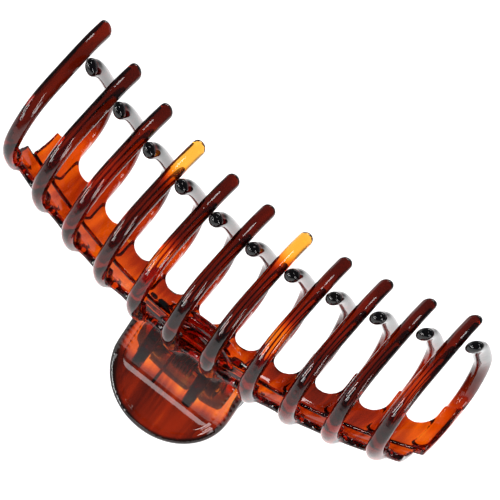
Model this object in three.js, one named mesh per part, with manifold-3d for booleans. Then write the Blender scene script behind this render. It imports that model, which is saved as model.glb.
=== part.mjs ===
// Claw clip: two identical plastic jaws on a steel hinge pin, held shut by a torsion spring.
// Millimetres. X runs along the hinge, the teeth point up (+Z) and the handles down.
// A jaw is drawn in its own terms: x along the hinge, out = away from the middle plane, up = height
// above the slit between the two jaws. The front jaw's out is -Y, and the back jaw is turned half a turn.
import * as THREE from 'three';
import { mergeVertices } from 'three/addons/utils/BufferGeometryUtils.js';
import Module from 'manifold-3d';

const wasm = await Module();
wasm.setup();

// ---- driving dimensions ----
const toothCount = 11;
const toothPitch = 12;
const toothWidth = 4.4;
const toothDepth = 4.2;
const rootDepth = 3.4;           // a tooth is flatter where it runs under the plate as a rib
const rootLength = 14;           // and reaches its full depth this far along
const tipTaper = 0.92;           // tooth section at its tip, as a share of the section at its root
const archRise = 0.0037;         // the spine rises by this times x squared
const archRiseAtTip = 0.0002;    // and the tips by this much more
const tipSpread = 0.0006;        // the tips cross over less towards the ends
const toothLine = [[5, -1.2], [12, 2.9], [17.2, 9.4], [17, 16.6], [13.2, 23.7], [4.7, 30.7],
  [-3.1, 36], [-8.8, 38.6]];

const plateThickness = 2.2;
const slitGap = 0.6;
const plateLine = [[slitGap / 2, -0.6], [4, -0.2], [8, 1.1], [11.3, 3.8], [13.8, 7.6]];
const plateEdge = 0.45;          // thickness of the plate at its scalloped edge, as a share of the rest
const gapReach = 7;              // how far the plate runs out from the slit in the gap between two teeth
const gapReachGain = 3;          // and how much further it runs at the ends of the clip
const plateOverrun = 6;          // plate past the middle of the last tooth, at the end where it is free
const cornerRadius = 2.6;

const handleWidth = 36;
const handleOffset = 1;          // the handle's middle, from the middle of the clip
const handlePanel = 1.7;         // thickness of the sunk middle
const handleRim = 2.9;           // and of the bead round it
const rimWidth = 2.4;
const handleTilt = 17;           // degrees off the vertical, over the flat part
const handleStraight = 12;       // length of the flat upper part
const handleBends = [[handleStraight, 0], [1.2, 7], [11.4, 18]];   // lengths, and the degrees each turns out
const handleRoot = [3.6, -1.5];
const handleRound = 15.5;        // length of the round end, from where the sides begin to curve in

const pinDiameter = 2;
const pinDepth = 8;              // hinge axis below the slit
const boreClearance = 0.3;
const lugThickness = 2.5;
const lugRadius = 3.3;
const lugGap = 0.3;
const lugMiddle = 8.4;           // middle of the pair of lugs, from the middle of the clip
const webNeck = 1.4;             // the web's distance from the middle plane, at its top
const webTop = 0.4;              // its top, below the handle's root
const webFoot = 4;               // it meets the handle this far above the end of the flat part
const webShoulder = 1.9;         // and stands this far off it there
const gussetLength = 7;          // length of the tapered toe that runs on down the handle
const gussetSink = 0.5;          // the end of the toe, sunk below the middle of the handle's wall

const wireDiameter = 0.9;
const coilDiameter = 4.8;        // to the middle of the wire
const coilTurns = 6.5;           // the half turn puts one leg on each handle
const turnGap = 0.12;
const legLength = 8;
const legSlant = 0.03;           // a leg runs sideways by this share of its length
const pieceGap = 0.3;

// ---- derived sizes ----
const firstTooth = -(toothCount - 1) / 2 * toothPitch - toothPitch / 4;
const lastTooth = firstTooth + (toothCount - 1) * toothPitch;
const gapRadius = (toothPitch - toothWidth) / 2;
const plateStart = firstTooth - toothWidth / 2;
const plateEnd = lastTooth + plateOverrun;
const handleLength = handleBends.reduce((sum, [length]) => sum + length, 0);
const boreRadius = pinDiameter / 2 + boreClearance;
const outerLug = lugMiddle + (lugThickness + lugGap) / 2;
const innerLug = lugMiddle - (lugThickness + lugGap) / 2;
const pinHalfLength = outerLug + lugThickness / 2 + pieceGap;
const coilPitch = wireDiameter + turnGap;
const tilt = THREE.MathUtils.degToRad(handleTilt);
// A spring leg starts level with the pin and closes the room left to the handle's inner face by its tip.
const legRoom = (handleRoot[0] - coilDiameter / 2) * Math.cos(tilt) + (handleRoot[1] + pinDepth) * Math.sin(tilt)
  - handlePanel / 2 - wireDiameter / 2 - pieceGap;
const legLean = tilt + Math.atan(legRoom / legLength);

// ---- helpers ----
// A point given as x, out and up, with the arch of the spine added.
function jawPoint(x, out, up, share = 0) {
  const rise = (archRise + archRiseAtTip * share * share) * x * x;
  return new THREE.Vector3(x, -(out + tipSpread * x * x * share * share), up + rise);
}

function flatCurve(points) {
  return new THREE.SplineCurve(points.map(([out, up]) => new THREE.Vector2(out, up)));
}

// A closed slab between two grids of points, place(column, row, side), with side -1 inside and +1 outside.
function slab(columns, rows, place) {
  const positions = [];
  const index = [];
  const vertex = (column, row, side) => ((side > 0 ? columns : 0) + column) * rows + row;
  for (const side of [-1, 1]) {
    for (let column = 0; column < columns; column += 1) {
      for (let row = 0; row < rows; row += 1) positions.push(...place(column, row, side));
    }
  }
  const quad = (a, b, c, d) => index.push(a, b, c, a, c, d);
  for (let column = 0; column < columns - 1; column += 1) {
    for (let row = 0; row < rows - 1; row += 1) {
      const corners = [[0, 0], [1, 0], [1, 1], [0, 1]].map(([i, j]) => [column + i, row + j]);
      quad(...corners.map(([i, j]) => vertex(i, j, 1)));
      quad(...corners.reverse().map(([i, j]) => vertex(i, j, -1)));
    }
    const next = column + 1;
    quad(vertex(column, 0, -1), vertex(next, 0, -1), vertex(next, 0, 1), vertex(column, 0, 1));
    quad(vertex(column, rows - 1, 1), vertex(next, rows - 1, 1), vertex(next, rows - 1, -1),
      vertex(column, rows - 1, -1));
  }
  for (let row = 0; row < rows - 1; row += 1) {
    const last = columns - 1;
    quad(vertex(0, row + 1, -1), vertex(0, row, -1), vertex(0, row, 1), vertex(0, row + 1, 1));
    quad(vertex(last, row, -1), vertex(last, row + 1, -1), vertex(last, row + 1, 1), vertex(last, row, 1));
  }
  const geometry = new THREE.BufferGeometry();
  geometry.setAttribute('position', new THREE.Float32BufferAttribute(positions, 3));
  geometry.setIndex(index);
  return geometry;
}

function solid(geometry) {
  const bare = geometry.clone();
  bare.deleteAttribute('normal');
  bare.deleteAttribute('uv');
  const merged = mergeVertices(bare, 1e-4);
  return new wasm.Manifold(new wasm.Mesh({
    numProp: 3,
    vertProperties: new Float32Array(merged.attributes.position.array),
    triVerts: new Uint32Array(merged.index.array),
  }));
}

function geometryOf(manifold) {
  const mesh = manifold.getMesh();
  const geometry = new THREE.BufferGeometry();
  geometry.setAttribute('position', new THREE.BufferAttribute(new Float32Array(mesh.vertProperties), 3));
  geometry.setIndex(new THREE.BufferAttribute(new Uint32Array(mesh.triVerts), 1));
  return geometry;
}

// ---- one tooth: a capsule bent along its line, flatter at its root ----
function toothGeometry(x) {
  const line = flatCurve(toothLine);
  const lineLength = line.getLength();
  const halfHeight = 5;            // of the capsule before it is stretched along the line
  const geometry = new THREE.CapsuleGeometry(1, 2 * halfHeight, 2, 8, 17);
  const position = geometry.attributes.position;
  for (let i = 0; i < position.count; i += 1) {
    const along = position.getY(i);
    const inLine = THREE.MathUtils.clamp(along, -halfHeight, halfHeight);
    const share = (inLine + halfHeight) / (2 * halfHeight);
    const taper = 1 - (1 - tipTaper) * share;
    const middle = line.getPointAt(share);
    const tangent = line.getTangentAt(share);
    const rooted = Math.max(1 - share * lineLength / rootLength, 0);
    const depth = toothDepth - (toothDepth - rootDepth) * rooted;
    const past = (along - inLine) * toothDepth / 2 * taper;
    const across = position.getZ(i) * depth / 2 * taper;
    const out = middle.x + tangent.x * past + tangent.y * across;
    const up = middle.y + tangent.y * past - tangent.x * across;
    const side = position.getX(i) * toothWidth / 2 * taper;
    const base = jawPoint(x, out, up, share);
    position.setXYZ(i, base.x + side, base.y, base.z);
  }
  return geometry;
}

// ---- spine plate: its free edge is scalloped by the gaps between the teeth ----
function plateReach(x) {
  const nearestTooth = Math.round((x - firstTooth) / toothPitch);
  const toTooth = Math.abs(x - firstTooth - nearestTooth * toothPitch);
  const toGap = Math.min(toothPitch / 2 - toTooth, gapRadius);
  const scallop = gapRadius - Math.sqrt(gapRadius ** 2 - toGap ** 2);
  const toEnd = Math.min(plateEnd - x, cornerRadius);
  const corner = cornerRadius - Math.sqrt(cornerRadius ** 2 - (cornerRadius - toEnd) ** 2);
  return gapReach + gapReachGain * (x / lastTooth) ** 2 + scallop - corner;
}

function plateColumns() {
  const columns = [plateStart, firstTooth];
  const circle = [-1, -0.87, -0.5, 0, 0.5, 0.87, 1];
  for (let gap = 0; gap < toothCount - 1; gap += 1) {
    const middle = firstTooth + (gap + 0.5) * toothPitch;
    columns.push(...circle.map((share) => middle + share * gapRadius), middle + toothPitch / 2);
  }
  const free = plateEnd - lastTooth;
  columns.push(...[0.4, 0.55, 0.7, 0.85, 0.95, 1].map((share) => lastTooth + share * free));
  return columns;
}

function plateGeometry() {
  const line = flatCurve(plateLine);
  const lineLength = line.getLength();
  const columns = plateColumns();
  const shares = [0, 0.35, 0.65, 0.9, 1];
  return slab(columns.length, shares.length, (column, row, side) => {
    const x = columns[column];
    const share = shares[row] * plateReach(x) / lineLength;
    const middle = line.getPointAt(share);
    const tangent = line.getTangentAt(share);
    const edge = row === shares.length - 1 ? plateEdge : 1;
    const offset = side * edge * plateThickness / 2;
    return jawPoint(x, middle.x + tangent.y * offset, middle.y - tangent.x * offset);
  });
}

// ---- handle: flat at the top, then creased and turned out along an arc, with a D outline ----
function handlePoint(distance) {
  let [out, up] = handleRoot;
  let angle = tilt;
  let left = distance;
  for (const [length, degrees] of handleBends) {
    const step = Math.min(left, length);
    const turn = THREE.MathUtils.degToRad(degrees) * step / length;
    const chord = turn === 0 ? step : step * Math.sin(turn / 2) / (turn / 2);
    out += chord * Math.sin(angle + turn / 2);
    up -= chord * Math.cos(angle + turn / 2);
    angle += turn;
    left -= step;
  }
  return { out, up, angle };
}

function handleGeometry() {
  const roundStart = handleLength - handleRound;
  const rows = [0, 0.35, 0.7, 1].map((share) => share * roundStart);
  const round = [0.25, 0.45, 0.62, 0.76, 0.85, 0.92, 0.985, 1];
  rows.push(...round.map((share) => roundStart + share * handleRound));
  const inner = 1 - rimWidth / (handleWidth / 2);
  const half = [1, 0.97, (1 + inner) / 2, inner, 0.4];
  const columns = [...half, 0, ...half.map((share) => -share).reverse()];
  const tip = 0.2;                 // half width of the last row, as a share of the whole
  return slab(columns.length, rows.length, (column, row, side) => {
    const distance = rows[row];
    const fall = Math.max(distance - roundStart, 0) / handleRound;
    const halfWidth = handleWidth / 2 * Math.max(Math.sqrt(1 - fall * fall), tip);
    const { out, up, angle } = handlePoint(distance);
    const atEdge = Math.abs(columns[column]) === 1 || row === rows.length - 1;
    const inRim = Math.abs(columns[column]) > inner || distance > handleLength - rimWidth;
    const thickness = atEdge ? handleRim / 2 : inRim ? handleRim : handlePanel;
    const offset = side * thickness / 2;
    const x = handleOffset + columns[column] * halfWidth;
    return new THREE.Vector3(x, -(out + offset * Math.cos(angle)), up + offset * Math.sin(angle));
  });
}

// ---- hinge lugs: a web off the handle's inner face, round the pin, with a gusset down the handle ----
function lugGeometry(x) {
  const shape = new THREE.Shape();
  const webEnd = handlePoint(handleStraight - webFoot);
  const gussetEnd = handlePoint(handleStraight - webFoot + gussetLength);
  const meets = 0.9;               // angle round the pin where the web runs into the lug, above it
  const leaves = Math.PI * 1.72;   // and below it
  shape.moveTo(handleRoot[0] + 1, handleRoot[1] - webTop);
  shape.lineTo(webNeck, handleRoot[1] - webTop);
  shape.lineTo(-lugRadius * Math.cos(meets), -pinDepth + lugRadius * Math.sin(meets));
  shape.absarc(0, -pinDepth, lugRadius, Math.PI - meets, leaves, false);
  shape.lineTo(webEnd.out - handlePanel / 2 - webShoulder, webEnd.up - webShoulder / 2);
  shape.lineTo(gussetEnd.out - gussetSink, gussetEnd.up);
  shape.lineTo(webEnd.out, webEnd.up);
  shape.closePath();
  const geometry = new THREE.ExtrudeGeometry(shape, { depth: lugThickness, bevelEnabled: false, curveSegments: 16 });
  const position = geometry.attributes.position;
  for (let i = 0; i < position.count; i += 1) {
    const side = position.getZ(i) - lugThickness / 2;
    position.setXYZ(i, x - side, -position.getX(i), position.getY(i));
  }
  return geometry;
}

function boreGeometry() {
  const geometry = new THREE.CylinderGeometry(boreRadius, boreRadius, 4 * lugMiddle, 20);
  geometry.rotateZ(Math.PI / 2);
  geometry.translate(0, 0, -pinDepth);
  return geometry;
}

function jawGeometry() {
  let jaw = solid(plateGeometry());
  for (let tooth = 0; tooth < toothCount; tooth += 1) {
    jaw = jaw.add(solid(toothGeometry(firstTooth + tooth * toothPitch)));
  }
  jaw = jaw.add(solid(handleGeometry()));
  for (const x of [-outerLug, innerLug]) jaw = jaw.add(solid(lugGeometry(x)));
  return geometryOf(jaw.subtract(solid(boreGeometry())));
}

// ---- hinge pin: a plain wire with its ends broken ----
function pinGeometry() {
  const radius = pinDiameter / 2;
  const chamfer = 0.3;
  const profile = [[0, -pinHalfLength], [radius - chamfer, -pinHalfLength], [radius, -pinHalfLength + chamfer],
    [radius, pinHalfLength - chamfer], [radius - chamfer, pinHalfLength], [0, pinHalfLength]];
  const geometry = new THREE.LatheGeometry(profile.map(([r, y]) => new THREE.Vector2(r, y)), 20);
  geometry.rotateZ(Math.PI / 2);
  geometry.translate(0, 0, -pinDepth);
  return geometry;
}

// ---- torsion spring: a coil round the pin and a leg down the inside of each handle ----
class SpringLine extends THREE.Curve {
  getPoint(share, target = new THREE.Vector3()) {
    const radius = coilDiameter / 2;
    const coilLength = coilTurns * Math.PI * 2 * radius;
    const total = coilLength + 2 * legLength;
    const distance = share * total;
    const inCoil = THREE.MathUtils.clamp(distance - legLength, 0, coilLength);
    const turn = inCoil / coilLength * coilTurns * Math.PI * 2;
    const x = (turn / (Math.PI * 2) - coilTurns / 2) * coilPitch;
    const past = distance - legLength - inCoil;
    const y = -radius * Math.cos(turn);
    const z = radius * Math.sin(turn);
    const down = Math.abs(past) * Math.cos(legLean);
    return target.set(x + past * legSlant, y + past * Math.sin(legLean), z - down - pinDepth);
  }
}

function springGeometry() {
  const radius = wireDiameter / 2;
  const section = new THREE.Shape();
  section.absarc(0, 0, radius, 0, Math.PI * 2, false);
  return new THREE.ExtrudeGeometry(section, { steps: 130, curveSegments: 4, extrudePath: new SpringLine() });
}

// ---- materials and assembly ----
const tortoiseshell = () => new THREE.MeshStandardMaterial({ color: 0x7a2412, roughness: 0.12, metalness: 0 });
const steel = (color) => new THREE.MeshStandardMaterial({ color, roughness: 0.3, metalness: 1 });

function part(name, geometry, material) {
  const mesh = new THREE.Mesh(geometry, material);
  mesh.name = name;
  return mesh;
}

const clip = new THREE.Group();
const frontJaw = part('front_jaw', jawGeometry(), tortoiseshell());
const backJaw = part('back_jaw', jawGeometry(), tortoiseshell());
backJaw.rotation.z = Math.PI;
clip.add(frontJaw, backJaw);
clip.add(part('hinge_pin', pinGeometry(), steel(0xb9bcc0)));
clip.add(part('torsion_spring', springGeometry(), steel(0x9a9da2)));

// Stand the clip on the ground plane, on the lower edges of its handles.
const lowest = new THREE.Box3().setFromObject(clip).min.z;
clip.position.z = -lowest;

export default clip;
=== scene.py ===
"""Claw clip: the finished look of two tortoiseshell jaws, their steel hinge pin and their spring."""
import math

import bpy
import numpy as np
from mathutils import Matrix, Vector


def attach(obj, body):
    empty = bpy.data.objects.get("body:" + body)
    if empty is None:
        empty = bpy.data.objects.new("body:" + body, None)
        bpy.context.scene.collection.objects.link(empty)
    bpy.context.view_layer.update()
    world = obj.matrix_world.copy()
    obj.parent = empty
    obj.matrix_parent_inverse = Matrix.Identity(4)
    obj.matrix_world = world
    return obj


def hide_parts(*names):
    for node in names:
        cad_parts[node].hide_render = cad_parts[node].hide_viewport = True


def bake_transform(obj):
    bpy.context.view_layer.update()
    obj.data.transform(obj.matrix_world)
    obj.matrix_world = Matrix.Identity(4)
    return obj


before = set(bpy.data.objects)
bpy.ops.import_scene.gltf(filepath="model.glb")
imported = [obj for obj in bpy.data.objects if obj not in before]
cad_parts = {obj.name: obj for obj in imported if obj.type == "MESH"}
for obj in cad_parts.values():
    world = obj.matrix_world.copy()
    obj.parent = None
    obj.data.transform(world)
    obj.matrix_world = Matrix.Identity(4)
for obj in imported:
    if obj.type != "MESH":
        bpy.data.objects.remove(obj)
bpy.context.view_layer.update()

MM = 0.001

# ---- the clip's own sizes, in millimetres, as the frame has them ----
# A jaw is drawn about the slit between the two spines, and a line's points are (out, up) from there.
SLIT_HEIGHT = 24.4106            # above the table

TOOTH_COUNT = 11
PITCH = 12.0
FIRST_TOOTH = -(TOOTH_COUNT - 1) / 2 * PITCH - PITCH / 4
LAST_TOOTH = FIRST_TOOTH + (TOOTH_COUNT - 1) * PITCH
TOOTH_WIDTH = 4.4
TOOTH_DEPTH = 4.2
ROOT_DEPTH = 3.4                 # the ribs are flatter where they cross the plate
ROOT_LENGTH = 14.0
TIP_TAPER = 0.92                 # the tip's width beside the root's
ARCH_RISE = 0.0037               # the spine's bow: this times the square of the distance along it
ARCH_RISE_AT_TIP = 0.0002        # the same for what the tips rise besides
TIP_SPREAD = 0.0006              # and for how much further out they lie
TOOTH_LINE = [(5, -1.2), (12, 2.9), (17.2, 9.4), (17, 16.6), (13.2, 23.7),
              (4.7, 30.7), (-3.1, 36), (-8.8, 38.6)]

PLATE_THICKNESS = 2.2
PLATE_LINE = [(0.3, -0.6), (4, -0.2), (8, 1.1), (11.3, 3.8), (13.8, 7.6)]
GAP_REACH = 7.0                  # where a gap's round end starts, up the plate
GAP_REACH_GAIN = 3.0             # and how much further up that is at the ends
GAP_RADIUS = (PITCH - TOOTH_WIDTH) / 2
PLATE_START = FIRST_TOOTH - TOOTH_WIDTH / 2
PLATE_END = LAST_TOOTH + 6.0
CORNER_RADIUS = 3.5              # of the plate's free corner
CORNER_DROP = 0.5                # its middle, below the start of the gap beside it
CUTTER_DEPTH = 9.0               # more than the plate's thickness

HANDLE_WIDTH = 36.0
HANDLE_OFFSET = 1.0
HANDLE_PANEL = 1.7               # thickness inside the rim
HANDLE_RIM = 2.9                 # thickness at the rim
HANDLE_RIM_WIDTH = 2.4
RIM_ROUNDING = 1.2
HANDLE_ROUND = 15.5              # the length of the D's round end
HANDLE_TILT = 17
HANDLE_STRAIGHT = 12.0
HANDLE_BENDS = [(HANDLE_STRAIGHT, 0), (1.2, 7), (11.4, 18)]      # lengths, and the degrees each turns out
HANDLE_LENGTH = sum(length for length, _ in HANDLE_BENDS)
HANDLE_ROOT = (3.6, -1.5)

PIN_RADIUS = 1.0
PIN_DEPTH = 8.0                  # below the slit
PIN_OVERHANG = 0.3
PIN_CHAMFER = 0.3
BORE_RADIUS = 1.3
LUG_THICKNESS = 2.5
LUG_RADIUS = 3.3
LUG_GAP = 0.3                    # between the two jaws' lugs, side by side
LUG_MIDDLE = 8.4
LUG_OUTER = LUG_MIDDLE + (LUG_THICKNESS + LUG_GAP) / 2
LUG_INNER = LUG_MIDDLE - (LUG_THICKNESS + LUG_GAP) / 2
PIN_HALF_LENGTH = LUG_OUTER + LUG_THICKNESS / 2 + PIN_OVERHANG
WEB_DROP = 0.4                   # the web's top, below the handle's root
WEB_SINK = 1.0                   # how far it is let into the root
WEB_NECK = 1.4                   # how far its top stays off the middle
WEB_ROUND_LUG = [(2.05, 2.58), (2.4, -2.2), (-2.1, -2.54)]       # its corners at the disc, in and up
WEB_FOOT = 4.0                   # above the handle's crease, where the web ends and the gusset starts
WEB_SHOULDER = 1.9               # how far the gusset stands off the panel there
GUSSET_LENGTH = 7.0
GUSSET_SINK = 0.5
GUSSET_TOE = HANDLE_STRAIGHT - WEB_FOOT + GUSSET_LENGTH          # down the handle

WIRE_RADIUS = 0.45
COIL_RADIUS = 2.4
COIL_TURNS = 6.5
COIL_PITCH = 1.02
LEG_LENGTH = 8.0
LEG_LEAN = math.radians(27.3)
LEG_SLANT = 0.03                 # sideways, for each millimetre down

VOXEL = 0.44                     # the jaws are fused at this grain
SOFTENING = {"factor": 0.5, "iterations": 4}

# ---- where the pigment lies, and where shade is painted in ----
# the colours from the darkest pigment to clear plastic
TORTOISE_TINTS = [(0.0, "0b0403"), (0.27, "4c120e"), (0.46, "922a10"), (0.62, "da6412"), (0.8, "f4b446"),
                  (1.0, "fff1cc")]
# how clear the plastic is, from below the handle (0) to above the tips (1)
CLEAR_ZONES = [(0.0, 0.30), (0.16, 0.34), (0.20, 0.62), (0.34, 0.62),
               (0.38, 0.52), (0.47, 0.54), (0.56, 0.30), (1.0, 0.27)]
ZONES_BELOW, ZONES_ABOVE = 24.0, 40.0        # where 0 and 1 lie, from the slit
# soft patches where the melt is clearer or darker: middle and reach in millimetres, and gain. The last, round
# the pin, is painted shade that darkens the hinge between the handles
TONE_SPOTS_AND_HINGE_SHADE = [((-27, 6, 66), (4, 14, 16), 0.8), ((9, 6, 66), (4, 14, 14), 0.75),
               ((-15, -14, 46), (4, 9, 9), 0.3), ((21, -14, 48), (4, 9, 9), 0.3),
               ((57, -10, 56), (5, 9, 14), 0.3), ((-60, 8, 40), (9, 12, 9), 0.12),
               ((60, 8, 42), (9, 12, 9), 0.12), ((28, 8, 32), (34, 12, 16), -0.13),
               ((-20, 8, 30), (24, 12, 12), -0.05), ((0, 0, 16.4), (15, 4.8, 7), -0.8)]
RIM_DARK, RIM_CLEAR = 0.6, 1.7   # in from the handle's edge, where its dark line (painted shade over its thicker plastic) ends and has faded out
# how dark the edge's line is painted, for shade as well as for thickness
RIM_SHADE_DENSITY = 0.6
LUG_SHADE_EDGE = 0.5                  # the painted shade on the lugs fades out over this

# ---- the camera: the way it looks from and its roll in degrees, and lengths in millimetres ----
CAMERA_AZIMUTH, CAMERA_ELEVATION, CAMERA_ROLL = 14.86, 33.43, 29.29
CAMERA_DISTANCE = 920.2
CAMERA_LENS, CAMERA_SENSOR = 263.3, 36.0
CAMERA_TARGET = (-0.2, 0, SLIT_HEIGHT + 30.53)
CAMERA_SHIFT = (0.85, 0.87)      # the target's move to the right and up, as the camera sees it
LIGHT_TARGET = (0, 0, 0.03)      # what the lights are turned to, in metres


# ---- modelling helpers ----
def clear_selection():
    """Leaves edit mode, with nothing selected."""
    if bpy.context.mode != "OBJECT":
        bpy.ops.object.mode_set(mode="OBJECT")
    bpy.ops.object.select_all(action="DESELECT")


def new_piece(name):
    """Names the object that an operator has just made."""
    piece = bpy.context.object
    piece.name = name
    piece.data.name = name
    return piece


def modify(piece, kind, **settings):
    """Adds a modifier and applies it."""
    clear_selection()
    piece.select_set(True)
    bpy.context.view_layer.objects.active = piece
    modifier = piece.modifiers.new(kind.title(), kind)
    for key, value in settings.items():
        setattr(modifier, key, value)
    bpy.ops.object.modifier_apply(modifier=modifier.name)


def settle(piece):
    """Puts the object at the origin, unturned and unscaled, with its place in its mesh."""
    clear_selection()
    piece.select_set(True)
    bpy.context.view_layer.objects.active = piece
    bpy.ops.object.transform_apply(location=True, rotation=True, scale=True)


def join(pieces, name):
    """Puts several pieces in one mesh, each still a shell of its own."""
    clear_selection()
    for piece in pieces:
        piece.select_set(True)
    bpy.context.view_layer.objects.active = pieces[0]
    bpy.ops.object.join()
    pieces[0].name = name
    pieces[0].data.name = name
    return pieces[0]


def copy_of(piece, shift=(0, 0, 0)):
    """A copy with its own mesh, moved by shift, in millimetres."""
    twin = piece.copy()
    twin.data = piece.data.copy()
    bpy.context.collection.objects.link(twin)
    twin.data.transform(Matrix.Translation(Vector(shift)))
    return twin


def cut(piece, cutter):
    """Takes the cutter's shape out of the piece, and the cutter away."""
    modify(piece, "BOOLEAN", operation="DIFFERENCE", object=cutter, solver="EXACT")
    bpy.data.objects.remove(cutter)


def places_of(piece):
    """Every vertex's x, y and z, as three arrays."""
    places = np.empty(len(piece.data.vertices) * 3)
    piece.data.vertices.foreach_get("co", places)
    return places.reshape(-1, 3).T


def reshape(piece, rule):
    """Moves every vertex by a rule that takes and gives arrays of x, y and z."""
    places = np.stack(rule(*places_of(piece)), axis=1)
    piece.data.vertices.foreach_set("co", places.ravel())
    piece.data.update()


def lift(piece, height):
    """Takes a piece from millimetres about its own zero to metres, that height above the table."""
    piece.data.transform(Matrix.Translation((0, 0, height)))
    piece.data.transform(Matrix.Scale(MM, 4))


def box(size, middle, name):
    """A block, by its three sizes and its middle."""
    clear_selection()
    bpy.ops.mesh.primitive_cube_add(size=1, location=middle, scale=size)
    piece = new_piece(name)
    settle(piece)
    return piece


def cylinder(radius, depth, middle, name, along_x=False):
    """A plain cylinder, standing up or lying along X."""
    clear_selection()
    bpy.ops.mesh.primitive_cylinder_add(vertices=48, radius=radius, depth=depth, location=middle,
                                        rotation=(0, math.pi / 2 if along_x else 0, 0))
    piece = new_piece(name)
    settle(piece)
    return piece


def rod(stations, sides, name):
    """A round rod drawn up the Z axis, ring by ring, from (height, radius) stations."""
    clear_selection()
    height, radius = stations[0]
    bpy.ops.mesh.primitive_circle_add(vertices=sides, radius=radius, fill_type="NGON",
                                      location=(0, 0, height))
    piece = new_piece(name)
    settle(piece)
    bpy.ops.object.mode_set(mode="EDIT")
    bpy.ops.mesh.select_all(action="SELECT")
    for next_height, next_radius in stations[1:]:
        step = (0, 0, next_height - height)
        bpy.ops.mesh.extrude_region_move(TRANSFORM_OT_translate={"value": step})
        grow = next_radius / radius
        bpy.ops.transform.resize(value=(grow, grow, 1), center_override=(0, 0, next_height))
        height, radius = next_height, next_radius
    bpy.ops.mesh.select_all(action="SELECT")
    bpy.ops.mesh.normals_make_consistent(inside=False)
    bpy.ops.object.mode_set(mode="OBJECT")
    return piece


def prism(corners, thickness, name):
    """A flat outline of (y, z) corners, drawn out along X about the middle plane."""
    clear_selection()
    bpy.ops.mesh.primitive_circle_add(vertices=len(corners), radius=1, fill_type="NGON")
    piece = new_piece(name)
    for vertex, (y, z) in zip(piece.data.vertices, corners):
        vertex.co = (-thickness / 2, y, z)
    bpy.ops.object.mode_set(mode="EDIT")
    bpy.ops.mesh.select_all(action="SELECT")
    bpy.ops.mesh.extrude_region_move(TRANSFORM_OT_translate={"value": (thickness, 0, 0)})
    bpy.ops.mesh.select_all(action="SELECT")
    bpy.ops.mesh.normals_make_consistent(inside=False)
    bpy.ops.object.mode_set(mode="OBJECT")
    return piece


# ---- lines that the pieces follow ----
class Line:
    """A smooth flat line through a few points, read by its length."""

    def __init__(self, points, grain=400):
        knots = np.array(points, float)
        ends = np.vstack([2 * knots[0] - knots[1], knots, 2 * knots[-1] - knots[-2]])
        spans = []
        for i in range(len(knots) - 1):
            a, b, c, d = ends[i:i + 4]
            t = np.linspace(0, 1, grain, endpoint=i == len(knots) - 2)[:, None]
            spans.append(0.5 * (2 * b + (c - a) * t + (2 * a - 5 * b + 4 * c - d) * t**2
                                + (3 * b - a - 3 * c + d) * t**3))
        self.points = np.vstack(spans)
        steps = np.linalg.norm(np.diff(self.points, axis=0), axis=1)
        self.travel = np.concatenate([[0], np.cumsum(steps)])
        self.length = self.travel[-1]

    def point(self, distance):
        """Out and up at each distance."""
        return tuple(np.interp(distance, self.travel, along) for along in self.points.T)

    def at(self, distance):
        """Out, up and the direction of travel at each distance; past its ends the line runs straight on."""
        inside = np.clip(distance, 0, self.length)
        out, up = self.point(inside)
        ahead_out, ahead_up = self.point(np.clip(inside + 0.15, 0, self.length))
        behind_out, behind_up = self.point(np.clip(inside - 0.15, 0, self.length))
        away, rise = ahead_out - behind_out, ahead_up - behind_up
        size = np.hypot(away, rise)
        away, rise = away / size, rise / size
        past = distance - inside
        return out + away * past, up + rise * past, away, rise

    def share_near(self, out, up):
        """How far along the line, from 0 to 1, the nearest point of it lies."""
        places = self.points[::25]
        shares = self.travel[::25] / self.length
        gaps = (out[:, None] - places[:, 0]) ** 2 + (up[:, None] - places[:, 1]) ** 2
        return shares[gaps.argmin(axis=1)]


tooth_line = Line(TOOTH_LINE)
plate_line = Line(PLATE_LINE)


def handle_place(distance):
    """Out, up and the angle off the vertical, down the middle of the handle."""
    out, up = (np.full_like(distance, start, dtype=float) for start in HANDLE_ROOT)
    angle = np.full_like(out, math.radians(HANDLE_TILT))
    left = np.array(distance, float)
    for length, degrees in HANDLE_BENDS:
        step = np.minimum(left, length)
        turn = math.radians(degrees) * step / length
        chord = step * np.sinc(turn / 2 / math.pi)
        out += chord * np.sin(angle + turn / 2)
        up -= chord * np.cos(angle + turn / 2)
        angle += turn
        left = left - step
    return out, up, angle


# ---- the pieces of a jaw, each made straight and flat first ----
def dome():
    """Ring stations for one domed end of unit radius: how far in, and how wide."""
    angles = np.radians([12, 30, 48, 66, 80])
    return [(1 - math.cos(a), math.sin(a)) for a in angles]


def tooth():
    """A rod with domed ends, squared a little, tapered and bent along its line."""
    length = tooth_line.length
    start = [(-1 + inward, width) for inward, width in dome()]
    middle = [(height, 1.0) for height in np.linspace(0, length, 56)]
    end = [(length + 1 - inward, width) for inward, width in reversed(dome())]
    piece = rod(start + middle + end, 24, "tooth")

    def bend(x, y, z):
        inside = np.clip(z, 0, length)
        share = inside / length
        taper = 1 - (1 - TIP_TAPER) * share
        rooted = np.clip(1 - inside / ROOT_LENGTH, 0, 1)
        depth = (TOOTH_DEPTH - (TOOTH_DEPTH - ROOT_DEPTH) * rooted) * taper
        past = (z - inside) * TOOTH_DEPTH / 2 * taper
        out, up, away, rise = tooth_line.at(inside)
        across = y * depth / 2
        side = x * TOOTH_WIDTH / 2 * taper
        return side, -(out + away * past + rise * across), up + rise * past - away * across

    reshape(piece, bend)
    return piece


def plate_reach(x):
    """Where a gap's round end starts, up the plate: further up near the plate's ends."""
    return GAP_REACH + GAP_REACH_GAIN * (x / LAST_TOOTH) ** 2


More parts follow.
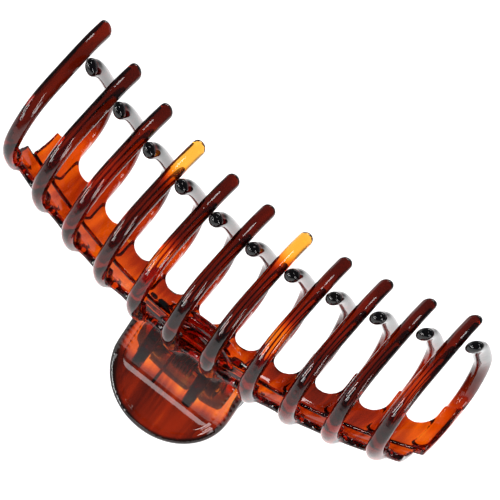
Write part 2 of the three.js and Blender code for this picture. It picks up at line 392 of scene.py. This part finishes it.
def plate():
    """A strip with a round-ended slot cut for each gap between teeth, then curved up along its line."""
    depth = plate_line.length
    length = PLATE_END - PLATE_START
    piece = box((length, depth, PLATE_THICKNESS), ((PLATE_START + PLATE_END) / 2, depth / 2, 0), "plate")
    cutters = []
    for gap in range(TOOTH_COUNT):
        x = FIRST_TOOTH + (gap + 0.5) * PITCH
        reach = plate_reach(x) + GAP_RADIUS
        cutters.append(cylinder(GAP_RADIUS, CUTTER_DEPTH, (x, reach, 0), "slot_end"))
        cutters.append(box((2 * GAP_RADIUS, depth, CUTTER_DEPTH), (x, reach + depth / 2, 0), "slot"))
    # the free corner is cut by a block with the rounding taken out of it
    reach = plate_reach(PLATE_END)
    corner = box((2 * CORNER_RADIUS, 2 * CORNER_RADIUS, CUTTER_DEPTH), (PLATE_END, reach + GAP_RADIUS, 0),
                 "corner")
    cut(corner, cylinder(CORNER_RADIUS, CUTTER_DEPTH + 1, (PLATE_END - CORNER_RADIUS, reach - CORNER_DROP, 0),
                         "rounding"))
    cutters.append(corner)
    for cutter in cutters:
        cut(piece, cutter)
    modify(piece, "REMESH", mode="VOXEL", voxel_size=VOXEL)

    def curve(x, y, z):
        out, up, away, rise = plate_line.at(y)
        return x, -(out - rise * z), up + away * z

    reshape(piece, curve)
    return piece


def handle_outline(inset, thickness, height, name):
    """A flat D: a round end and a straight root, a given distance inside the full outline."""
    straight_length = HANDLE_LENGTH - HANDLE_ROUND
    clear_selection()
    bpy.ops.mesh.primitive_cylinder_add(vertices=128, radius=1, depth=1,
                                        location=(0, straight_length, height))
    bpy.context.object.scale = (HANDLE_WIDTH / 2 - inset, HANDLE_ROUND - inset, thickness)
    end = new_piece(name)
    settle(end)
    root = box((HANDLE_WIDTH - 2 * inset, straight_length + inset, thickness),
               (0, (straight_length - inset) / 2, height), "root")
    modify(end, "BOOLEAN", operation="UNION", object=root, solver="EXACT")
    bpy.data.objects.remove(root)
    return end


def handle():
    """A D-shaped panel with a raised round rim, bent along its own line."""
    piece = handle_outline(0, HANDLE_RIM, 0, "handle")
    modify(piece, "BEVEL", width=RIM_ROUNDING, segments=5, limit_method="ANGLE",
           angle_limit=math.radians(40))
    step = (HANDLE_RIM - HANDLE_PANEL) / 2
    for side in (-1, 1):
        cut(piece, handle_outline(HANDLE_RIM_WIDTH, 2 * step, side * HANDLE_RIM / 2, "hollow"))
    modify(piece, "REMESH", mode="VOXEL", voxel_size=VOXEL)
    modify(piece, "SMOOTH", **SOFTENING)

    def bend(x, y, z):
        out, up, angle = handle_place(y)
        return x + HANDLE_OFFSET, -(out + z * np.cos(angle)), up + z * np.sin(angle)

    reshape(piece, bend)
    return piece


def lug(x):
    """A disc round the pin on a web that stands on the handle, with a gusset down it."""
    disc = cylinder(LUG_RADIUS, LUG_THICKNESS, (x, 0, -PIN_DEPTH), "lug", along_x=True)
    foot_out, foot_up, _ = map(float, handle_place(np.array(HANDLE_STRAIGHT - WEB_FOOT)))
    toe_out, toe_up, _ = map(float, handle_place(np.array(GUSSET_TOE)))
    top = HANDLE_ROOT[1] - WEB_DROP
    corners = [(-(HANDLE_ROOT[0] + WEB_SINK), top), (-WEB_NECK, top)]
    corners += [(inward, -PIN_DEPTH + rise) for inward, rise in WEB_ROUND_LUG]
    corners += [(-(foot_out - HANDLE_PANEL / 2 - WEB_SHOULDER), foot_up - WEB_SHOULDER / 2),
                (-(toe_out - GUSSET_SINK), toe_up), (-foot_out, foot_up)]
    web = prism(corners, LUG_THICKNESS, "web")
    web.data.transform(Matrix.Translation((x, 0, 0)))
    return [disc, web]


def arch(x, y, z):
    """Bows the spine, with the tips a little more, as the moulding has it."""
    share = tooth_line.share_near(-y, z)
    spread = TIP_SPREAD * (x * share) ** 2
    return x, y - spread, z + (ARCH_RISE + ARCH_RISE_AT_TIP * share**2) * x**2


def soft_step(value, start, end):
    """From 0 at start to 1 at end, with no corner at either."""
    share = np.clip((value - start) / (end - start), 0, 1)
    return share * share * (3 - 2 * share)


def mark_thickness_and_shade(moulding):
    """Stores how dark each place looks: the lugs and the handle's edge have the most plastic behind, and both
    are also painted darker as shade.
    """
    x, y, z = places_of(moulding)
    # each place's nearest point down the handle, and how far off its middle surface it lies
    steps = np.linspace(0, HANDLE_LENGTH, 200)
    out, up, angle = handle_place(steps)
    nearest = ((-y[:, None] - out) ** 2 + (z[:, None] - up) ** 2).argmin(axis=1)
    along = steps[nearest]
    off = (-y - out[nearest]) * np.cos(angle[nearest]) + (z - up[nearest]) * np.sin(angle[nearest])
    below = soft_step(z, -1.0, -2.0)       # the spine and the teeth are left as they are
    # the dark line round the D's edge: painted shade, on top of the thicker plastic there
    side = (x - HANDLE_OFFSET) / (HANDLE_WIDTH / 2)
    fall = np.clip((along - (HANDLE_LENGTH - HANDLE_ROUND)) / HANDLE_ROUND, 0, 1)
    to_edge = (1 - np.hypot(side, fall)) * HANDLE_WIDTH / 2
    rim = soft_step(to_edge, RIM_CLEAR, RIM_DARK) * below * RIM_SHADE_DENSITY
    # the lugs, their webs and their gussets, on the inside of the panel, painted darker for the shade behind
    # it as well as their thickness
    inner = soft_step(off, -HANDLE_PANEL / 2 - 0.1, -HANDLE_PANEL / 2 - 0.5) * below
    inner = inner * soft_step(along, GUSSET_TOE + 1, HANDLE_STRAIGHT)
    lugs = np.maximum(*(soft_step(abs(x - middle), LUG_THICKNESS / 2 + LUG_SHADE_EDGE, LUG_THICKNESS / 2)
                        for middle in (-LUG_OUTER, LUG_INNER)))
    dark_and_shaded = np.maximum(rim, inner * lugs).astype(np.float32)
    # stored as "pigment": thicker plastic and painted shade together
    moulding.data.attributes.new("pigment", "FLOAT", "POINT").data.foreach_set("value", dark_and_shaded)


def jaw():
    """The whole front jaw as one moulding: teeth, plate, handle and lugs fused and then softened."""
    first = tooth()
    pieces = [copy_of(first, (FIRST_TOOTH + i * PITCH, 0, 0)) for i in range(TOOTH_COUNT)] + [plate()]
    bpy.data.objects.remove(first)
    for piece in pieces:
        reshape(piece, arch)
    moulding = join(pieces + [handle()] + lug(-LUG_OUTER) + lug(LUG_INNER), "front_jaw_moulding")
    pattern = copy_of(moulding)
    modify(moulding, "REMESH", mode="VOXEL", voxel_size=VOXEL)
    modify(moulding, "SHRINKWRAP", target=pattern, wrap_method="NEAREST_SURFACEPOINT")
    bpy.data.objects.remove(pattern)
    cut(moulding, cylinder(BORE_RADIUS, 4 * LUG_MIDDLE, (0, 0, -PIN_DEPTH), "bore", along_x=True))
    modify(moulding, "SMOOTH", **SOFTENING)
    # darker marks for the thicker plastic and the painted shade on the lugs and the handle's edge
    mark_thickness_and_shade(moulding)
    lift(moulding, SLIT_HEIGHT)
    return moulding


def hinge_pin():
    """A straight piece of wire with its ends broken, lying along X."""
    half, end_radius = PIN_HALF_LENGTH, PIN_RADIUS - PIN_CHAMFER
    piece = rod([(-half, end_radius), (-half + PIN_CHAMFER, PIN_RADIUS), (half - PIN_CHAMFER, PIN_RADIUS),
                 (half, end_radius)], 32, "hinge_pin_wire")
    reshape(piece, lambda x, y, z: (z, x, y))
    lift(piece, SLIT_HEIGHT - PIN_DEPTH)
    return piece


def torsion_spring():
    """A wire wound round the pin, with a straight leg down the inside of each handle."""
    coil_length = COIL_TURNS * 2 * math.pi * COIL_RADIUS
    legs = list(np.linspace(0, LEG_LENGTH, 8)[:-1])
    heights = legs + list(np.linspace(0, coil_length, int(COIL_TURNS * 26)) + LEG_LENGTH)
    heights += [coil_length + 2 * LEG_LENGTH - height for height in reversed(legs)]
    piece = rod([(height, 1.0) for height in heights], 12, "torsion_spring_wire")

    def wind(x, y, z):
        """Turns the straight rod into the coil, and past its ends into the legs."""
        inside = np.clip(z - LEG_LENGTH, 0, coil_length)
        past = z - LEG_LENGTH - inside
        turn = inside / COIL_RADIUS
        heading = turn - LEG_LEAN * np.clip(past / WIRE_RADIUS, -1, 1)
        side = (turn / (2 * math.pi) - COIL_TURNS / 2) * COIL_PITCH + past * LEG_SLANT
        depth = -COIL_RADIUS * np.cos(turn) + past * math.sin(LEG_LEAN)
        height = COIL_RADIUS * np.sin(turn) - abs(past) * math.cos(LEG_LEAN)
        across = y * WIRE_RADIUS
        return side - x * WIRE_RADIUS, depth - across * np.cos(heading), height + across * np.sin(heading)

    reshape(piece, wind)
    lift(piece, SLIT_HEIGHT - PIN_DEPTH)
    return piece


# ---- materials ----
def linear(code):
    """An sRGB hex colour as linear RGBA."""
    parts = [int(code[i:i + 2], 16) / 255 for i in (0, 2, 4)]
    return tuple(p / 12.92 if p <= 0.04045 else ((p + 0.055) / 1.055) ** 2.4 for p in parts) + (1.0,)


def add(tree, kind, settings=None, links=None):
    """Adds a node, sets its fields and sockets, and links its inputs."""
    node = tree.nodes.new(kind)
    for key, value in (settings or {}).items():
        if isinstance(key, str) and key in node.bl_rna.properties:
            setattr(node, key, value)
        else:
            node.inputs[key].default_value = value
    for key, source in (links or {}).items():
        tree.links.new(source, node.inputs[key])
    return node


def fill_ramp(node, stops):
    """Sets a colour ramp's stops from (position, colour) pairs."""
    ramp = node.color_ramp
    for _ in stops[2:]:
        ramp.elements.new(0.5)
    for element, (where, colour) in zip(ramp.elements, stops):
        element.position = where
        element.color = colour


def material(name):
    """A new material and its empty node tree."""
    made = bpy.data.materials.new(name)
    made.use_nodes = True
    made.node_tree.nodes.clear()
    return made, made.node_tree


def tortoiseshell_acetate():
    """Cellulose acetate, moulded and tumbled to a mirror gloss.

    The pigment is swirled in before moulding, so dark brown, red and amber run in soft clouds, and in
    streaks along the teeth where the melt flowed. Thick parts and overlapping walls go nearly black, and
    the thin plates glow where light comes through. Shade is painted in as well: darker round the hinge,
    on the lugs and along the handle's edge.
    """
    made, tree = material("tortoiseshell_acetate")

    place = add(tree, "ShaderNodeTexCoord").outputs["Object"]
    axes = add(tree, "ShaderNodeSeparateXYZ", links={"Vector": place})
    # height above the bowed spine
    squared = add(tree, "ShaderNodeMath", {"operation": "MULTIPLY"},
                  {0: axes.outputs["X"], 1: axes.outputs["X"]})
    bow = add(tree, "ShaderNodeMath", {"operation": "MULTIPLY", 1: ARCH_RISE / MM}, {0: squared.outputs[0]})
    level = add(tree, "ShaderNodeMath", {"operation": "SUBTRACT"},
                {0: axes.outputs["Z"], 1: bow.outputs[0]})
    # how clear the melt is at that height
    span = ZONES_BELOW + ZONES_ABOVE
    share = add(tree, "ShaderNodeMath", {"operation": "MULTIPLY_ADD", 1: 1 / (span * MM),
                                         2: (ZONES_BELOW - SLIT_HEIGHT) / span}, {0: level.outputs[0]})
    zones = add(tree, "ShaderNodeValToRGB", links={"Fac": share.outputs[0]})
    fill_ramp(zones, [(where, (value, value, value, 1)) for where, value in CLEAR_ZONES])

    # the swirls, the streaks across them, and the dark marks, which are thicker plastic and painted shade on
    # the lugs and the handle's edge
    clouds = add(tree, "ShaderNodeTexNoise", {"Scale": 1 / (22 * MM), "Detail": 2.0}, {"Vector": place})
    stretch = add(tree, "ShaderNodeMapping", {"Scale": (1.0, 0.09, 0.09)}, {"Vector": place})
    streaks = add(tree, "ShaderNodeTexNoise", {"Scale": 1 / (2.6 * MM), "Detail": 2.0, "Distortion": 0.6},
                  {"Vector": stretch.outputs[0]})
    # thicker plastic and painted shade on the lugs and the handle's edge, read from the "pigment" attribute
    dark_and_shaded = add(tree, "ShaderNodeAttribute", {"attribute_name": "pigment"})
    clear = zones.outputs["Color"]
    for pattern, gain, shift in ((clouds, 0.5, -0.25), (streaks, 0.36, -0.18), (dark_and_shaded, -0.9, 0.0)):
        swing = add(tree, "ShaderNodeMath", {"operation": "MULTIPLY_ADD", 1: gain, 2: shift},
                    {0: pattern.outputs["Fac"]})
        clear = add(tree, "ShaderNodeMath", {"operation": "ADD"},
                    {0: clear, 1: swing.outputs[0]}).outputs[0]
    # the patches, the last of them painted shade over the hinge
    for middle, reach, gain in TONE_SPOTS_AND_HINGE_SHADE:
        offset = add(tree, "ShaderNodeVectorMath",
                     {"operation": "SUBTRACT", 1: tuple(m * MM for m in middle)}, {0: place})
        squash = add(tree, "ShaderNodeVectorMath",
                     {"operation": "DIVIDE", 1: tuple(r * MM for r in reach)}, {0: offset.outputs[0]})
        distance = add(tree, "ShaderNodeVectorMath", {"operation": "LENGTH"}, {0: squash.outputs[0]})
        fade = add(tree, "ShaderNodeMapRange", {"interpolation_type": "SMOOTHSTEP", "From Min": 1.0,
                                               "From Max": 0.35, "To Max": gain},
                   {"Value": distance.outputs["Value"]})
        clear = add(tree, "ShaderNodeMath", {"operation": "ADD"},
                    {0: clear, 1: fade.outputs[0]}).outputs[0]
    tint = add(tree, "ShaderNodeValToRGB", links={"Fac": clear})
    fill_ramp(tint, [(where, linear(code)) for where, code in TORTOISE_TINTS])

    shader = add(tree, "ShaderNodeBsdfPrincipled",
                 {"Roughness": 0.03, "IOR": 1.49, "Transmission Weight": 1.0},
                 {"Base Color": tint.outputs["Color"]})
    inside = add(tree, "ShaderNodeVolumeAbsorption", {"Color": (0.93, 0.72, 0.1, 1), "Density": 800.0})
    add(tree, "ShaderNodeOutputMaterial", links={"Surface": shader.outputs[0], "Volume": inside.outputs[0]})
    return made


def drawn_pin_steel():
    """Bright drawn steel wire.

    The die leaves fine lines along it, so its highlight is drawn out across the wire and broken into
    threads. The lines are a few hundredths of a millimetre apart, and are drawn 0.3 mm apart so that they
    show.
    """
    made, tree = material("drawn_pin_steel")
    place = add(tree, "ShaderNodeTexCoord").outputs["Object"]
    stretch = add(tree, "ShaderNodeMapping", {"Scale": (0.03, 1.0, 1.0)}, {"Vector": place})
    lines = add(tree, "ShaderNodeTexNoise", {"Scale": 1 / (0.3 * MM), "Detail": 3.0},
                {"Vector": stretch.outputs[0]})
    colour = add(tree, "ShaderNodeValToRGB", links={"Fac": lines.outputs["Fac"]})
    fill_ramp(colour, [(0.3, linear("9b9da0")), (0.7, linear("d2d3d5"))])
    rough = add(tree, "ShaderNodeMapRange", {"To Min": 0.16, "To Max": 0.4},
                {"Value": lines.outputs["Fac"]})
    bump = add(tree, "ShaderNodeBump", {"Strength": 0.3, "Distance": 0.02 * MM},
               {"Height": lines.outputs["Fac"]})
    shader = add(tree, "ShaderNodeBsdfPrincipled", {"Metallic": 1.0},
                 {"Base Color": colour.outputs["Color"], "Roughness": rough.outputs[0],
                  "Normal": bump.outputs[0]})
    add(tree, "ShaderNodeOutputMaterial", links={"Surface": shader.outputs[0]})
    return made


def tempered_spring_wire():
    """Oil-tempered spring wire.

    Hot oil leaves a thin brown-grey skin of uneven depth, in patches of about a millimetre, with a satin
    shine where it is thin and a duller one where it is thick.
    """
    made, tree = material("tempered_spring_wire")
    place = add(tree, "ShaderNodeTexCoord").outputs["Object"]
    skin = add(tree, "ShaderNodeTexNoise", {"Scale": 1 / (1.2 * MM), "Detail": 4.0, "Roughness": 0.6},
               {"Vector": place})
    colour = add(tree, "ShaderNodeValToRGB", links={"Fac": skin.outputs["Fac"]})
    fill_ramp(colour, [(0.3, linear("4b413b")), (0.55, linear("6f6660")), (0.75, linear("979290"))])
    rough = add(tree, "ShaderNodeMapRange", {"To Min": 0.5, "To Max": 0.22}, {"Value": skin.outputs["Fac"]})
    shader = add(tree, "ShaderNodeBsdfPrincipled", {"Metallic": 1.0},
                 {"Base Color": colour.outputs["Color"], "Roughness": rough.outputs[0]})
    add(tree, "ShaderNodeOutputMaterial", links={"Surface": shader.outputs[0]})
    return made


def dress(piece, finish):
    """Gives the whole piece one material and smooth shading."""
    piece.data.materials.clear()
    piece.data.materials.append(finish)
    for face in piece.data.polygons:
        face.use_smooth = True


# ---- stage ----
def direction(azimuth, elevation):
    """A unit vector, from radians round from the front and up."""
    return Vector((math.sin(azimuth) * math.cos(elevation), -math.cos(azimuth) * math.cos(elevation),
                   math.sin(elevation)))


def camera():
    """Looks down at the clip from the front right, rolled so that the spine falls to the right."""
    azimuth, elevation, roll = map(math.radians, (CAMERA_AZIMUTH, CAMERA_ELEVATION, CAMERA_ROLL))
    back = direction(azimuth, elevation)
    level = Vector((math.cos(azimuth), math.sin(azimuth), 0))
    upward = back.cross(level)
    right = math.cos(roll) * level + math.sin(roll) * upward
    top = back.cross(right)
    target = Vector(CAMERA_TARGET) + CAMERA_SHIFT[0] * right + CAMERA_SHIFT[1] * top
    place = (target + CAMERA_DISTANCE * back) * MM
    data = bpy.data.cameras.new("camera")
    data.lens = CAMERA_LENS
    data.sensor_width = CAMERA_SENSOR
    data.clip_end = 10.0
    view = bpy.data.objects.new("camera", data)
    view.matrix_world = Matrix.Translation(place) @ Matrix((right, top, back)).transposed().to_4x4()
    bpy.context.collection.objects.link(view)
    bpy.context.scene.camera = view


def white_table():
    """A matt white table, brightest round the clip and dark further off.

    The far parts would lay a pale veil over the plastic. The camera itself always sees white.
    """
    made, tree = material("white_table")
    place = add(tree, "ShaderNodeTexCoord")
    reach = add(tree, "ShaderNodeVectorMath", {"operation": "LENGTH"}, {0: place.outputs["Object"]})
    glow = add(tree, "ShaderNodeMapRange",
               {"From Min": 0.12, "From Max": 0.7, "To Min": 1.4, "To Max": 0.15},
               {"Value": reach.outputs["Value"]})
    shade = add(tree, "ShaderNodeMapRange",
                {"From Min": 0.2, "From Max": 0.45, "To Min": 0.75, "To Max": 0.02},
                {"Value": reach.outputs["Value"]})
    path = add(tree, "ShaderNodeLightPath")
    seen = add(tree, "ShaderNodeMath", {"operation": "MAXIMUM"},
               {0: path.outputs["Is Camera Ray"], 1: glow.outputs[0]})
    shader = add(tree, "ShaderNodeBsdfPrincipled",
                 {"Roughness": 0.6, "Specular IOR Level": 0.0, "Emission Color": (0.8, 0.8, 0.8, 1)},
                 {"Base Color": shade.outputs[0], "Emission Strength": seen.outputs[0]})
    add(tree, "ShaderNodeOutputMaterial", links={"Surface": shader.outputs[0]})
    return made


def stage():
    """The table, and a dim room that the camera sees as white."""
    clear_selection()
    bpy.ops.mesh.primitive_plane_add(size=6, location=(0, 0, 0))
    floor = new_piece("floor")
    floor.data.materials.append(white_table())
    world = bpy.data.worlds.new("studio")
    bpy.context.scene.world = world
    world.use_nodes = True
    tree = world.node_tree
    tree.nodes.clear()
    path = add(tree, "ShaderNodeLightPath")
    room = add(tree, "ShaderNodeBackground", {"Color": (0.12, 0.12, 0.13, 1)})
    backdrop = add(tree, "ShaderNodeBackground", {"Color": (1, 1, 1, 1)})
    seen = add(tree, "ShaderNodeMixShader", links={"Fac": path.outputs["Is Camera Ray"], 1: room.outputs[0],
                                                   2: backdrop.outputs[0]})
    add(tree, "ShaderNodeOutputWorld", links={"Surface": seen.outputs[0]})
    bpy.context.scene.view_settings.view_transform = "Standard"


def soft_box(name, place, width, height, brightness, aim=LIGHT_TARGET):
    """A rectangular soft light, in metres, as bright as is given where the table by the clip has 1.1."""
    data = bpy.data.lights.new(name, "AREA")
    data.shape = "RECTANGLE"
    data.size = width
    data.size_y = height
    data.energy = brightness * math.pi * width * height
    lamp = bpy.data.objects.new(name, data)
    lamp.location = place
    lamp.rotation_euler = (Vector(aim) - Vector(place)).to_track_quat("-Z", "Y").to_euler()
    lamp.visible_camera = False
    bpy.context.collection.objects.link(lamp)


def low_light(name, azimuth, elevation, width, height, brightness):
    """A soft light a metre off, by its direction and its breadth as seen from the clip, in degrees."""
    place = direction(math.radians(azimuth), math.radians(elevation)) + Vector(LIGHT_TARGET)
    soft_box(name, place, math.radians(width), math.radians(height), brightness)


camera()
stage()
# broad and dim: what the plastic's sides and back mirror
soft_box("backdrop", (0.2, 1.2, 0.35), 2.0, 0.7, 0.3, aim=(0, 0, 0.1))
soft_box("left_wall", (-1.2, 0.1, 0.1), 1.6, 0.5, 0.7, aim=(0, 0, 0.05))
# small and bright: the streaks on the ribs, the line along the crease, and the edges of the spine
low_light("window_left", -52, 14, 8, 24, 14)
low_light("window_right", -27, 14, 8, 24, 14)
low_light("reflector", -12, 9, 16, 7, 5)
low_light("right_wall", 78, 7, 14, 14, 8)
soft_box("rear_window", (-0.25, 0.85, 0.72), 0.5, 0.12, 7)
soft_box("ceiling", (0.05, -0.15, 1.2), 0.3, 0.2, 9)
soft_box("right_strip", (0.9, -0.45, 0.45), 0.12, 0.6, 9)

# ---- the clip: the back jaw is the same moulding, turned half a turn ----
front = jaw()
back = copy_of(front)
back.data.transform(Matrix.Rotation(math.pi, 4, "Z"))
back.name = "back_jaw_moulding"
shell = tortoiseshell_acetate()
for piece, body, node in ((front, "root", "front_jaw"), (back, "back_jaw_body", "back_jaw")):
    dress(piece, shell)
    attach(piece, body)
    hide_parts(node)

pin = hinge_pin()
dress(pin, drawn_pin_steel())
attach(pin, "root")
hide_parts("hinge_pin")

# on the real clip each leg of the spring stays on its own handle and the coil twists between them; here the
# spring is baked in place and tied to neither jaw
spring = torsion_spring()
dress(spring, tempered_spring_wire())
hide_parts("torsion_spring")
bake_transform(spring)
